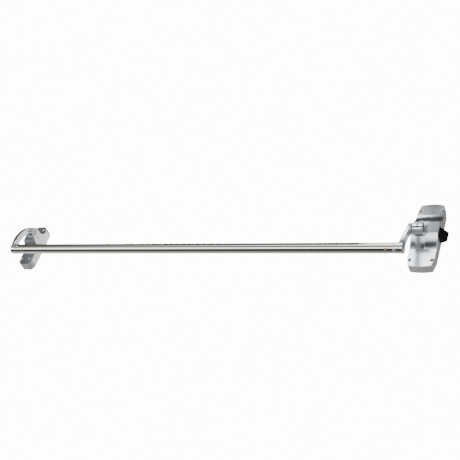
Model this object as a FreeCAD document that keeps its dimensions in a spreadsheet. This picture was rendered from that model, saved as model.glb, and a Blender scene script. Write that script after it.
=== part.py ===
"""Crossbar exit device for a door: a push bar on two pivoting arms that draws a spring bolt.

Frame: millimetres.  The origin is the middle of the latch case's four mounting holes, on the
door's face.  +X runs along the door towards the latch edge, +Y into the door, +Z up, so the
whole device stands at Y below zero.
"""
import FreeCAD, Part
import math
import os
import Sketcher

doc = FreeCAD.newDocument("crossbar_exit_device")

# ---------------------------------------------------------------------------------------------
# Driving sizes, in millimetres and degrees
# ---------------------------------------------------------------------------------------------
SIZES = [
    # overall layout
    ("hinge_case_x", -1108, "hinge-side case centre along the door"),
    ("hinge_case_z", -24.5, "hinge-side case centre height"),
    ("pivot_depth", 60, "pivot axis out from the door"),
    ("pivot_z", -11, "pivot axis height"),
    ("bar_depth", 90.5, "bar axis out from the door"),
    ("bar_z", -93.8, "bar axis height"),
    ("bar_diameter", 25.4, "push bar tube"),
    ("bar_wall", 1.8, "push bar tube wall"),
    # arms
    ("arm_thickness", 10.5, "arm along the pivot axis"),
    ("arm_width", 17, "arm seen from its side"),
    ("arm_hub_radius", 13.4, "hub of the arm"),
    ("latch_arm_sweep", 420, "radius of the latch arm's centre line, nearly straight"),
    ("hinge_arm_sweep", 78, "radius of the hinge arm's centre line"),
    ("arm_edge_round", 1.2, "rounded edges of the arm"),
    ("arm_gap", 0.6, "between an arm and the barrel beside it"),
    ("eye_diameter", 26.2, "round eye of the arm around the bar's end"),
    ("eye_length", 16, "length of that eye along the bar"),
    ("spigot_length", 34, "plug of the arm inside the tube"),
    ("spigot_gap", 0.15, "plug to tube, on the radius"),
    ("tube_end_gap", 0.1, "tube end to the arm's eye"),
    # latch case
    ("case_half_width", 33, "latch case, half its width"),
    ("case_end_half_width", 28, "latch case, half its width at the ends"),
    ("case_half_height", 95.3, "latch case, half its height at the crown"),
    ("case_middle_z", 0.3, "middle of the latch case above its mounting holes' middle"),
    ("case_crown", 3, "rise of the arched ends"),
    ("case_taper_z", 68, "height where the sides start to taper"),
    ("pad_depth", 24.3, "depth of the latch case at its mounting pads"),
    ("crest_depth", 42.5, "depth of the hump at its crest line"),
    ("crest_z", -8.5, "height of the crest line"),
    ("face_top_depth", 38.5, "depth of the flat face at its top edge"),
    ("face_top_z", 28.5, "height of the flat face's top edge"),
    ("hump_top_z", 62, "where the hump meets the upper pad"),
    ("hump_low_z", -44, "where the hump meets the lower pad"),
    ("hump_top_round", 62, "hollow curve above the flat face"),
    ("hump_low_round", 70, "hollow curve below the crest"),
    ("case_wall", 3, "cast wall"),
    ("front_wall", 4.4, "cast wall of the hump, measured straight out"),
    ("bolt_hole_half_x", 26.5, "latch case mounting holes, half their spacing across"),
    ("bolt_hole_half_z", 75, "latch case mounting holes, half their spacing in height"),
    ("mount_hole_radius", 3, "mounting hole"),
    ("sink_radius", 4.7, "countersink at its mouth"),
    ("sink_depth", 2.4, "countersink depth"),
    ("case_edge_round", 1.0, "rounded edges of the castings"),
    # barrels
    ("barrel_radius", 14, "pivot barrel of each case"),
    ("latch_barrel_left", -20, "left face of the latch case's barrel"),
    ("latch_barrel_length", 23, "latch case's barrel"),
    ("hinge_barrel_length", 5.9, "hinge case's barrel"),
    ("hinge_neck_depth", 46, "depth of the hinge case beside its barrel"),
    ("barrel_cavity_radius", 11, "hollow of a barrel"),
    ("barrel_slot_width", 3, "spring slot in a barrel"),
    ("barrel_slot_height", 11, "spring slot in a barrel, its height"),
    ("barrel_slot_angle", 8, "spring slot, degrees below the front"),
    # hinge-side case
    ("hinge_half_width", 20.5, "hinge-side case, half its width"),
    ("hinge_end_half_width", 12, "hinge-side case, half its width at the ends"),
    ("hinge_half_height", 66.6, "hinge-side case, half its height"),
    ("hinge_middle_z", -27, "middle of the hinge-side case's height"),
    ("hinge_end_wall", 1.2, "wall that closes its barrel"),
    ("hinge_taper_z", 52, "where its corners start, from its centre"),
    ("hinge_corner_round", 21, "rounding of its corners"),
    ("hinge_neck_top", 4, "top of the neck that carries the barrel"),
    ("hinge_neck_low", -30, "underside of that neck"),
    ("hinge_round_top", 19, "hollow curve above the neck"),
    ("hinge_round_low", 24, "hollow curve below the neck"),
    ("hinge_hole_half_x", 13, "its mounting holes, half their spacing across"),
    ("hinge_hole_half_z", 51.5, "its mounting holes, half their spacing in height"),
    # plates behind the cases
    ("plate_thickness", 3, "steel plate behind a case"),
    ("plate_half_height", 64, "latch plate, half its height"),
    ("hinge_plate_half_height", 40, "hinge plate, half its height"),
    ("plate_gap", 0.2, "plate to the casting around it"),
    ("plate_screw_radius", 1.5, "screw that holds a plate"),
    ("plate_screw_length", 9, "length of that screw"),
    ("latch_screw_x", 24, "latch plate's screws, half their spacing across"),
    ("latch_screw_z", 57.5, "latch plate's screws, half their spacing in height"),
    ("hinge_screw_x", 11, "hinge plate's screws, half their spacing across"),
    ("hinge_screw_z", 35.5, "hinge plate's screws, half their spacing in height"),
    # shafts and bushes
    ("shaft_radius", 6, "cross shaft"),
    ("bush_radius", 8, "outside of a shaft bush"),
    ("shaft_clearance", 0.05, "shaft in its bush, on the radius"),
    ("clip_radius", 8.5, "retaining ring"),
    ("clip_thickness", 1, "retaining ring"),
    ("clip_gap", 0.2, "retaining ring to the bush and to the shaft's end"),
    ("drive_pin_radius", 1.6, "pin that fixes an arm to its shaft"),
    # bolt
    ("bolt_throw", 19, "travel of the latch bolt"),
    ("bolt_reach", 17.5, "bolt head beyond the case"),
    ("bolt_front", 35.5, "front of the bolt, out from the door"),
    ("bolt_rear", 8, "back of the bolt, out from the door"),
    ("bolt_low_z", -12, "underside of the bolt"),
    ("bolt_high_z", 16, "top of the bolt"),
    ("bolt_body_x", 20, "rear end of the bolt head at rest"),
    ("bolt_nose_depth", 16, "depth of the bolt's tip"),
    ("bolt_tip_flat", 1.5, "blunt tip of the bolt"),
    ("bolt_back_round", 60, "rounded back of the bolt head"),
    ("bolt_corner", 2, "chamfered corners of the bolt"),
    ("bolt_gap", 0.4, "bolt to the opening in the case"),
    ("rod_radius", 2.5, "guide rod behind the bolt"),
    ("rod_depth", 22, "guide rod axis out from the door"),
    ("rod_z", 12.6, "guide rod axis height"),
    ("rod_tail_x", -10, "tail end of the guide rod at rest"),
    ("rod_grip", 8, "rod inside the bolt"),
    ("follower_x", 22.5, "follower pin at rest"),
    ("follower_z", 1.5, "follower pin height"),
    ("follower_radius", 2, "follower pin"),
    ("follower_grip", 6, "follower pin inside the bolt"),
    ("guide_x", 27.8, "bolt guide, its left face"),
    ("guide_thickness", 2, "bolt guide plate"),
    ("guide_leg", 3, "legs of the bolt guide"),
    ("bracket_x", -9, "rod bracket, its left face"),
    ("bracket_thickness", 3, "rod bracket plate"),
    ("bracket_foot_z", 27, "rod bracket foot, its underside"),
    ("bracket_foot_height", 6, "rod bracket foot"),
    ("bolt_spring_wire", 0.5, "bolt spring wire, its radius"),
    ("bolt_spring_radius", 4.2, "bolt spring coil, to the wire's centre"),
    # retractor
    ("retractor_rear", 4.5, "retractor plate, door side, out from the door"),
    ("retractor_thickness", 3, "retractor plate"),
    ("retractor_left_x", -26.5, "retractor plate, left edge"),
    ("retractor_right_x", 27.3, "retractor plate, right edge"),
    ("retractor_low_z", -22, "retractor plate, lower edge"),
    ("retractor_high_z", 12, "retractor plate, upper edge"),
    ("retractor_lift", 13.1, "travel of the retractor"),
    ("slot_gap", 0.3, "pin in its slot, on the radius"),
    ("lug_left_x", -17.5, "retractor lugs, left side"),
    ("lug_width", 8, "retractor lugs along the shaft"),
    ("lug_depth", 30, "retractor lugs, front, out from the door"),
    ("lug_height", 3, "height of each lug"),
    ("lever_x", -16.5, "lifting lever, its left face"),
    ("lever_thickness", 6, "lifting lever"),
    ("lever_reach", 35, "lifting lever, pivot to the middle of its tip"),
    ("lever_tip_radius", 4, "rounded tip of the lever"),
    ("lever_hub_radius", 9.5, "hub of the lever"),
    ("lever_arm_low", 2, "lever arm below the pivot axis"),
    ("lever_arm_high", 4, "lever arm above the pivot axis"),
    ("lever_gap", 0.5, "lever tip to each lug"),
    ("stud_radius", 2, "stud that guides the retractor"),
    ("stud_head_radius", 3.4, "head of that stud"),
    ("stud_head_height", 1.2, "height of that head"),
    ("stud_left_x", -22, "outer stud"),
    ("stud_left_z", -4, "outer stud"),
    ("stud_right_x", -5, "inner stud"),
    ("stud_right_z", 5, "inner stud"),
    # return springs
    ("spring_wire", 0.8, "return spring wire, its radius"),
    ("spring_coil", 8.4, "return spring coil, to the wire's centre"),
    ("spring_pitch", 1.9, "return spring pitch"),
    ("spring_turns", 3, "return spring turns"),
    # trim hub and dogging cam
    ("hub_x", 8, "trim hub"),
    ("hub_z", 38, "trim hub"),
    ("hub_radius", 7, "trim hub in the latch plate"),
    ("hub_flange_radius", 8.5, "flange of the trim hub"),
    ("hub_flange_thickness", 3, "flange of the trim hub"),
    ("hub_finger", 11.5, "finger of the trim hub"),
    ("hub_finger_width", 5, "finger of the trim hub"),
    ("hub_square", 8, "square drive hole of the trim hub"),
    ("cam_depth", 41.5, "dogging cam axis out from the door"),
    ("cam_z", -14, "dogging cam axis height"),
    ("cam_radius", 3.5, "dogging cam in its bore"),
    ("cam_length", 7, "dogging cam"),
    ("cam_recess", 0.5, "dogging cam below the case's side"),
    ("cam_socket", 4, "hexagon socket of the cam, across its flats"),
    ("turning_clearance", 0.05, "turning fit of the hub and the cam, on the radius"),
    # bar screws
    ("set_screw_x", 23, "set screw from the tube's end"),
    ("set_screw_radius", 3, "set screw"),
    ("set_screw_length", 5, "set screw"),
    ("set_screw_socket", 1.5, "hexagon socket of the set screw, half its width"),
    ("set_screw_angle", 50, "set screw, degrees below the front"),
]

sheet = doc.addObject("Spreadsheet::Sheet", "Sizes")
for row, (alias, number, meaning) in enumerate(SIZES, start=1):
    sheet.set(f"A{row}", meaning)
    sheet.set(f"B{row}", str(number))
    sheet.setAlias(f"B{row}", alias)
doc.recompute()


def value(expression):
    """The number that an expression in the sheet's aliases stands for."""
    return float(sheet.evalExpression(cells(expression)))


def cells(expression):
    """Put the sheet's name in front of each alias in an expression."""
    words = []
    word = ""
    for letter in str(expression) + " ":
        if letter.isalnum() or letter in "_.":
            word += letter
            continue
        words.append("Sizes." + word if word in ALIASES else word)
        words.append(letter)
        word = ""
    return "".join(words).strip()


ALIASES = {alias for alias, number, meaning in SIZES}

# ---------------------------------------------------------------------------------------------
# Helpers.  A sketch on XZ_Plane looks from the front and grows out from the door, one on
# YZ_Plane looks from the side and grows towards the latch edge, and one on XY_Plane grows up.
# ---------------------------------------------------------------------------------------------


def new_body(name):
    body = doc.addObject("PartDesign::Body", name)
    body.Label = name
    body.AllowCompound = True
    return body


def new_sketch(body, name, plane, start, tilt=None):
    """A sketch parallel to an origin plane, 'start' along that plane's own direction."""
    planes = {item.Role: item for item in body.Origin.OriginFeatures}
    sketch = body.newObject("Sketcher::SketchObject", name)
    sketch.AttachmentSupport = [(planes[plane], "")]
    sketch.MapMode = "FlatFace"
    if tilt is None:
        sketch.setExpression("AttachmentOffset.Base.z", cells(start))
        return sketch
    along, up, out, angle = tilt
    turn = FreeCAD.Rotation(FreeCAD.Vector(1, 0, 0), value(angle))
    sketch.AttachmentOffset = FreeCAD.Placement(FreeCAD.Vector(0, 0, 0), turn)
    sketch.setExpression("AttachmentOffset.Rotation.Angle", cells(f"{angle} * 1deg"))
    lift = f"{up} - ({start}) * sin({angle} * 1deg)"
    reach = f"{out} + ({start}) * cos({angle} * 1deg)"
    sketch.setExpression("AttachmentOffset.Base.x", cells(along))
    sketch.setExpression("AttachmentOffset.Base.y", cells(lift))
    sketch.setExpression("AttachmentOffset.Base.z", cells(reach))
    return sketch


def hold_point(sketch, geometry, end, across, up):
    """Tie one point of a sketch to two expressions."""
    for kind, expression in (("DistanceX", across), ("DistanceY", up)):
        constraint = Sketcher.Constraint(kind, -1, 1, geometry, end, value(expression))
        number = sketch.addConstraint(constraint)
        sketch.setExpression(f"Constraints[{number}]", cells(expression))


def draw_outline(sketch, points):
    """Draw a closed outline.  Each point is (across, up) for a straight run to the next one,
    or (across, up, radius) for an arc that bulges to the right of the way to the next one;
    a minus sign before the radius bulges it to the left."""
    count = len(points)
    pieces = []
    places = [FreeCAD.Vector(value(point[0]), value(point[1]), 0) for point in points]
    for index, point in enumerate(points):
        start = places[index]
        end = places[(index + 1) % count]
        if len(point) == 2:
            pieces.append(sketch.addGeometry(Part.LineSegment(start, end)))
            continue
        left = str(point[2]).startswith("-")
        radius = value(str(point[2]).lstrip("-"))
        chord = end - start
        side = FreeCAD.Vector(-chord.y, chord.x, 0).normalize() * (1 if left else -1)
        middle = (start + end) * 0.5
        rise = radius - math.sqrt(max(radius**2 - chord.Length**2 / 4, 0))
        arc = Part.Arc(start, middle + side * rise, end)
        pieces.append(sketch.addGeometry(arc))
    ends = []
    for index, piece in enumerate(pieces):
        first = sketch.getPoint(piece, 1)
        forward = (first - places[index]).Length < 1e-6
        ends.append((1, 2) if forward else (2, 1))
    for index, piece in enumerate(pieces):
        following = (index + 1) % count
        joint = (piece, ends[index][1], pieces[following], ends[following][0])
        sketch.addConstraint(Sketcher.Constraint("Coincident", *joint))
        hold_point(sketch, piece, ends[index][0], points[index][0], points[index][1])
        if len(points[index]) == 3:
            expression = str(points[index][2]).lstrip("-")
            radius = Sketcher.Constraint("Radius", piece, value(expression))
            number = sketch.addConstraint(radius)
            sketch.setExpression(f"Constraints[{number}]", cells(expression))


def draw_circle(sketch, across, up, radius):
    centre = FreeCAD.Vector(value(across), value(up), 0)
    circle = Part.Circle(centre, FreeCAD.Vector(0, 0, 1), value(radius))
    number = sketch.addGeometry(circle)
    hold_point(sketch, number, 3, across, up)
    held = sketch.addConstraint(Sketcher.Constraint("Radius", number, value(radius)))
    sketch.setExpression(f"Constraints[{held}]", cells(radius))


def extrude(body, kind, name, plane, start, length, points, tilt=None):
    """Add or cut one straight-sided shape.  Points are an outline, or a list of circles."""
    before = body.Shape.Volume if body.Tip else 0
    sketch = new_sketch(body, name + "_sketch", plane, start, tilt)
    if isinstance(points, dict):
        for across, up in points["circles"]:
            draw_circle(sketch, across, up, points["radius"])
    else:
        draw_outline(sketch, points)
    feature = body.newObject(kind, name)
    feature.Profile = sketch
    if kind == "PartDesign::Pocket":
        feature.Reversed = True
    feature.setExpression("Length", cells(length))
    doc.recompute()
    change = body.Shape.Volume - before
    cutting = kind == "PartDesign::Pocket"
    if (change >= 0) if cutting else (change <= 0):
        raise RuntimeError(f"{name} changed nothing")
    return feature


def pad(body, name, plane, start, length, points, tilt=None):
    return extrude(body, "PartDesign::Pad", name, plane, start, length, points, tilt)


def pocket(body, name, plane, start, length, points, tilt=None):
    return extrude(body, "PartDesign::Pocket", name, plane, start, length, points, tilt)


def circles(radius, *centres):
    return {"radius": radius, "circles": list(centres)}


def rectangle(left, low, right, high):
    return [(left, low), (right, low), (right, high), (left, high)]


def hexagon(across, up, half_width):
    """A hexagon whose flats lie 'half_width' from its middle."""
    corner = f"({half_width}) / cos(30deg)"
    points = []
    for step in range(6):
        angle = f"{60 * step}deg"
        points.append((f"{across} + {corner} * cos({angle})", f"{up} + {corner} * sin({angle})"))
    return points


def soften(body, name, radius, wanted):
    """Round the edges of a body's latest shape that 'wanted' picks."""
    base = body.Tip
    names = []
    for number, edge in enumerate(base.Shape.Edges, start=1):
        if wanted(edge):
            names.append(f"Edge{number}")
    feature = body.newObject("PartDesign::Fillet", name)
    feature.Base = (base, names)
    feature.setExpression("Radius", cells(radius))
    doc.recompute()
    return feature


NODES = []


def finish(item):
    """Count an object as one node of the device."""
    NODES.append(item)
    return item


# ---------------------------------------------------------------------------------------------
# Latch case
# ---------------------------------------------------------------------------------------------
CORNER_Z = "case_half_height - case_crown"
CASE_TOP = "case_middle_z + case_half_height + 1"
CASE_LOW = "case_middle_z - case_half_height - 1"
CROWN_RADIUS = "(case_end_half_width ^ 2 + case_crown ^ 2) / (2 * case_crown)"
LATCH_OUTLINE = [
    ("case_end_half_width", f"case_middle_z + {CORNER_Z}", CROWN_RADIUS),
    ("-case_end_half_width", f"case_middle_z + {CORNER_Z}"),
    ("-case_half_width", "case_middle_z + case_taper_z"),
    ("-case_half_width", "case_middle_z - case_taper_z"),
    ("-case_end_half_width", f"case_middle_z - ({CORNER_Z})", CROWN_RADIUS),
    ("case_end_half_width", f"case_middle_z - ({CORNER_Z})"),
    ("case_half_width", "case_middle_z - case_taper_z"),
    ("case_half_width", "case_middle_z + case_taper_z"),
]
BARREL_FRONT = "pivot_depth + barrel_radius"
BARREL_RIGHT = "latch_barrel_left + latch_barrel_length"
OUTSIDE = "case_half_width + 1"


def hump_front(front):
    """The space in front of the hump and the pads, seen from the side."""
    return [
        (f"-({front})", CASE_TOP),
        (f"-({front})", CASE_LOW),
        ("-pad_depth", CASE_LOW),
        ("-pad_depth", "hump_low_z", "hump_low_round"),
        ("-crest_depth", "crest_z"),
        ("-face_top_depth", "face_top_z", "hump_top_round"),
        ("-pad_depth", "hump_top_z"),
        ("-pad_depth", CASE_TOP),
    ]


def barrel_front(front):
    """The space in front of the pads, the hump and the barrel that stands on it."""
    low_touch_y = "-pivot_depth + barrel_radius * sin(30deg)"
    low_touch_z = "pivot_z - barrel_radius * cos(30deg)"
    top_touch_y = "-pivot_depth + barrel_radius * sin(28deg)"
    top_touch_z = "pivot_z + barrel_radius * cos(28deg)"
    return [
        (f"-({front})", CASE_TOP),
        (f"-({front})", CASE_LOW),
        ("-pad_depth", CASE_LOW),
        ("-pad_depth", "hump_low_z", "hump_low_round"),
        ("-pad_depth - (crest_depth - pad_depth) * 0.8", "hump_low_z * 0.2 + crest_z * 0.8"),
        (low_touch_y, low_touch_z, "-barrel_radius"),
        (f"-({BARREL_FRONT})", "pivot_z", "-barrel_radius"),
        (top_touch_y, top_touch_z),
        ("-face_top_depth", "face_top_z - 8"),
        ("-face_top_depth", "face_top_z", "hump_top_round"),
        ("-pad_depth", "hump_top_z"),
        ("-pad_depth", CASE_TOP),
    ]


def make_latch_cover():
    body = new_body("latch_case_cover")
    front = f"{BARREL_FRONT} + 1"
    pad(body, "latch_block", "XZ_Plane", "0", front, LATCH_OUTLINE)
    beyond = f"{front} + 1"
    pocket(body, "latch_left_front", "YZ_Plane", f"-({OUTSIDE})",
           f"{OUTSIDE} + latch_barrel_left", hump_front(beyond))
    pocket(body, "latch_right_front", "YZ_Plane", BARREL_RIGHT,
           f"{OUTSIDE} - ({BARREL_RIGHT})", hump_front(beyond))
    pocket(body, "latch_barrel_front", "YZ_Plane", "latch_barrel_left",
           "latch_barrel_length", barrel_front(beyond))
    soften_case(body, "latch_edges", "case_taper_z")
    hollow = [
        ("1", "-plate_half_height + 22"),
        ("-pad_depth + case_wall", "hump_low_z + 4"),
        ("-crest_depth + front_wall", "crest_z + 1"),
        ("-face_top_depth + 3", "face_top_z - 2.5"),
        ("-pad_depth + case_wall", "hump_top_z - 12"),
        ("1", "hump_top_z - 12"),
    ]
    inside = "case_half_width - case_wall"
    pocket(body, "latch_hollow", "YZ_Plane", f"-({inside})", f"2 * ({inside})", hollow)
    plate = rectangle(f"-({inside})", "-plate_half_height", inside, "plate_half_height")
    pocket(body, "latch_plate_seat", "XZ_Plane", "-1", "1 + plate_thickness + plate_gap", plate)
    left = "latch_barrel_left + case_wall"
    room = "latch_barrel_length - 2 * case_wall"
    pocket(body, "latch_barrel_hollow", "YZ_Plane", left, room,
           circles("barrel_cavity_radius", ("-pivot_depth", "pivot_z")))
    neck = [
        ("-pivot_depth", "pivot_z - lever_arm_low - 0.8"),
        ("-crest_depth + 8", "pivot_z - lever_arm_low - 0.8"),
        ("-crest_depth + 8", "pivot_z + lever_arm_high + 12"),
        ("-pivot_depth", "pivot_z + lever_arm_high + 4"),
    ]
    pocket(body, "latch_neck_hollow", "YZ_Plane", left, room, neck)
    pocket(body, "latch_bush_seats", "YZ_Plane", "latch_barrel_left - 1",
           "latch_barrel_length + 2", circles("bush_radius", ("-pivot_depth", "pivot_z")))
    opening = rectangle("-bolt_front - bolt_gap", "bolt_low_z - bolt_gap",
                        "-bolt_rear + bolt_gap", "bolt_high_z + bolt_gap")
    pocket(body, "bolt_opening", "YZ_Plane", "case_half_width - case_wall - 1",
           "case_wall + 2", opening)
    barrel_slot(body, "latch_spring_slot", "latch_barrel_left + 12")
    mounting_holes(body, "latch", "0", "0", "bolt_hole_half_x", "bolt_hole_half_z")
    plate_screw_holes(body, "latch", "0", "0", "latch_screw_x", "latch_screw_z")
    return finish(body)


def barrel_slot(body, name, middle_x):
    """A slot through the barrel's wall, on its lower front."""
    tilt = (middle_x, "pivot_z", "pivot_depth", "barrel_slot_angle")
    slot = rectangle("-barrel_slot_width / 2", "-barrel_slot_height / 2",
                     "barrel_slot_width / 2", "barrel_slot_height / 2")
    pocket(body, name, "XZ_Plane", "shaft_radius + 1", "barrel_radius", slot, tilt)


def mounting_holes(body, name, middle_x, middle_z, half_x, half_z):
    """Four countersunk holes through the pads."""
    centres = []
    for side in ("-", "+"):
        for level in ("-", "+"):
            centres.append((f"{middle_x} {side} {half_x}", f"{middle_z} {level} {half_z}"))
    pocket(body, name + "_mount_holes", "XZ_Plane", "-1", "pad_depth + 2",
           circles("mount_hole_radius", *centres))
    sink = pocket(body, name + "_sinks", "XZ_Plane", "pad_depth - sink_depth",
                  "sink_depth + 1", circles("mount_hole_radius + 0.2", *centres))
    sink.setExpression("TaperAngle", cells("atan((sink_radius - mount_hole_radius) / sink_depth)"))
    doc.recompute()


def screw_centres(middle_x, middle_z, half_x, half_z):
    """Two screws in opposite corners of a plate."""
    return [(f"{middle_x} - {half_x}", f"{middle_z} - {half_z}"),
            (f"{middle_x} + {half_x}", f"{middle_z} + {half_z}")]


def plate_screw_holes(body, name, middle_x, middle_z, half_x, half_z):
    centres = screw_centres(middle_x, middle_z, half_x, half_z)
    pocket(body, name + "_screw_holes", "XZ_Plane", "plate_thickness - 1",
           "plate_screw_length + 2", circles("plate_screw_radius", *centres))


def soften_case(body, name, ends_from=None):
    """Round the long outer edges of a casting's front, and its ends' beyond a height."""
    box = body.Shape.BoundBox

    def wanted(edge):
        middle = edge.valueAt((edge.FirstParameter + edge.LastParameter) / 2)
        outer = abs(abs(middle.x - box.Center.x) - box.XLength / 2) < 0.01
        end = ends_from is not None and abs(middle.z - box.Center.z) > value(ends_from)
        front = middle.y < -value("pad_depth") + 0.01
        return edge.Length > 2 * value("case_edge_round") and front and (outer or end)

    return soften(body, name, "case_edge_round", wanted)


def make_plate(name, middle_x, middle_z, half_x, half_z, screw_x, screw_z):
    """Steel plate in the back of a case, flush with the door's face."""
    body = new_body(name)
    outline = rectangle(f"{middle_x} - ({half_x})", f"{middle_z} - ({half_z})",
                        f"{middle_x} + ({half_x})", f"{middle_z} + ({half_z})")
    pad(body, name + "_sheet", "XZ_Plane", "0", "plate_thickness", outline)
    pocket(body, name + "_screw_holes", "XZ_Plane", "-1", "plate_thickness + 2",
           circles("plate_screw_radius", *screw_centres(middle_x, middle_z, screw_x, screw_z)))
    return body


def make_plate_screws(name, middle_x, middle_z, screw_x, screw_z):
    """Screws with their heads sunk in the plate, one solid each."""
    body = new_body(name)
    centres = screw_centres(middle_x, middle_z, screw_x, screw_z)
    first = pad(body, name + "_shanks", "XZ_Plane", "0", "plate_screw_length",
                circles("plate_screw_radius", *centres))
    first.Refine = False
    return finish(body)


# ---------------------------------------------------------------------------------------------
# Hinge-side case
# ---------------------------------------------------------------------------------------------
HINGE_RIGHT = "hinge_case_x + hinge_half_width"
HINGE_LEFT = f"{HINGE_RIGHT} - hinge_barrel_length"


def hinge_outline():
    bend = "hinge_corner_round"
    steps = [("hinge_end_half_width", "hinge_half_height"),
             ("-hinge_end_half_width", "hinge_half_height", bend),
             ("-hinge_half_width", "hinge_taper_z"),
             ("-hinge_half_width", "-hinge_taper_z", bend),
             ("-hinge_end_half_width", "-hinge_half_height"),
             ("hinge_end_half_width", "-hinge_half_height", bend),
             ("hinge_half_width", "-hinge_taper_z"),
             ("hinge_half_width", "hinge_taper_z", bend)]
    return [(f"hinge_case_x + ({step[0]})", f"hinge_middle_z + ({step[1]})", *step[2:])
            for step in steps]


def hinge_profile(front):
    """The space in front of the pads and of the neck with its barrel, seen from the side."""
    top = "hinge_middle_z + hinge_half_height + 1"
    low = "hinge_middle_z - hinge_half_height - 1"
    round_top = "-pad_depth - hinge_round_top"
    round_low = "-pad_depth - hinge_round_low"
    return [
        (f"-({front})", top),
        (f"-({front})", low),
        ("-pad_depth", low),
        ("-pad_depth", "hinge_neck_low - hinge_round_low", "hinge_round_low"),
        (round_low, "hinge_neck_low"),
        ("-pivot_depth + 2", "pivot_z - sqrt(barrel_radius ^ 2 - 4)", "-barrel_radius"),
        (f"-({BARREL_FRONT})", "pivot_z", "-barrel_radius"),
        ("-pivot_depth + 2", "pivot_z + sqrt(barrel_radius ^ 2 - 4)"),
        (round_top, "hinge_neck_top", "hinge_round_top"),
        ("-pad_depth", "hinge_neck_top + hinge_round_top"),
        ("-pad_depth", top),
    ]


def hinge_low_front(front):
    """The space in front of the case beside its barrel."""
    top = "hinge_middle_z + hinge_half_height + 1"
    low = "hinge_middle_z - hinge_half_height - 1"
    return [
        (f"-({front})", top),
        (f"-({front})", low),
        ("-pad_depth", low),
        ("-pad_depth", "hinge_neck_low - hinge_round_low", "hinge_round_low"),
        ("-hinge_neck_depth", "hinge_neck_low + 2"),
        ("-hinge_neck_depth", "hinge_neck_top - 1", "hinge_round_top + 4"),
        ("-pad_depth", "hinge_neck_top + hinge_round_top"),
        ("-pad_depth", top),
    ]


def make_hinge_cover():
    body = new_body("hinge_case_cover")
    front = f"{BARREL_FRONT} + 1"
    beyond = f"{front} + 1"
    pad(body, "hinge_block", "XZ_Plane", "0", front, hinge_outline())
    pocket(body, "hinge_left_front", "YZ_Plane", "hinge_case_x - hinge_half_width - 1",
           "2 * hinge_half_width + 1 - hinge_barrel_length", hinge_low_front(beyond))
    pocket(body, "hinge_barrel_front", "YZ_Plane", HINGE_LEFT,
           "hinge_barrel_length + 1", hinge_profile(beyond))
    soften_case(body, "hinge_edges")
    half = "hinge_half_width - case_wall"
    left = f"hinge_case_x - ({half})"
    seat = rectangle(left, "hinge_case_z - hinge_plate_half_height",
                     f"hinge_case_x + {half}", "hinge_case_z + hinge_plate_half_height")
    pocket(body, "hinge_plate_seat", "XZ_Plane", "-1", "1 + plate_thickness + plate_gap", seat)
    hollow = rectangle("-pad_depth + case_wall", "hinge_neck_low - 8", "1", "hinge_neck_top + 3")
    pocket(body, "hinge_hollow", "YZ_Plane", left, f"2 * ({half})", hollow)
    inner = f"{HINGE_LEFT} + case_wall"
    room = "hinge_barrel_length - case_wall - hinge_end_wall"
    pocket(body, "hinge_barrel_hollow", "YZ_Plane", inner, room,
           circles("barrel_cavity_radius", ("-pivot_depth", "pivot_z")))
    pocket(body, "hinge_bush_seat", "YZ_Plane", f"{HINGE_LEFT} - 1",
           "case_wall + 2", circles("bush_radius", ("-pivot_depth", "pivot_z")))
    pocket(body, "cam_bore", "YZ_Plane", f"{HINGE_RIGHT} - cam_recess - cam_length - 0.5",
           "cam_length + 2", circles("cam_radius", ("-cam_depth", "cam_z")))
    mounting_holes(body, "hinge", "hinge_case_x", "hinge_case_z",
                   "hinge_hole_half_x", "hinge_hole_half_z")
    plate_screw_holes(body, "hinge", "hinge_case_x", "hinge_case_z",
                      "hinge_screw_x", "hinge_screw_z")
    return finish(body)


# ---------------------------------------------------------------------------------------------
# Arms and push bar
# ---------------------------------------------------------------------------------------------
def arm_centre(sweep):
    """Centre of the arc that runs through the bar's axis and the pivot."""
    across = "(pivot_depth - bar_depth)"
    rise = "(bar_z - pivot_z)"
    chord = f"sqrt({across} ^ 2 + {rise} ^ 2)"
    reach = f"sqrt({sweep} ^ 2 - ({across} ^ 2 + {rise} ^ 2) / 4)"
    middle_y = "(-pivot_depth - bar_depth) / 2"
    middle_z = "(pivot_z + bar_z) / 2"
    return (f"({middle_y} - {reach} * {rise} / {chord})",
            f"({middle_z} + {reach} * {across} / {chord})")


def arm_outline(sweep):
    """A strip bent round that arc, from the pivot to the bar."""
    centre_y, centre_z = arm_centre(sweep)
    outer = f"(1 + arm_hub_radius / {sweep})"
    inner = f"(1 + (arm_hub_radius - arm_width) / {sweep})"
    ends = {"pivot": ("-pivot_depth", "pivot_z"), "bar": ("-bar_depth", "bar_z")}
    points = []
    for end, scale in (("pivot", outer), ("bar", outer), ("bar", inner), ("pivot", inner)):
        y, z = ends[end]
        points.append((f"{centre_y} + ({y} - {centre_y}) * {scale}",
                       f"{centre_z} + ({z} - {centre_z}) * {scale}"))
    return points


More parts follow.
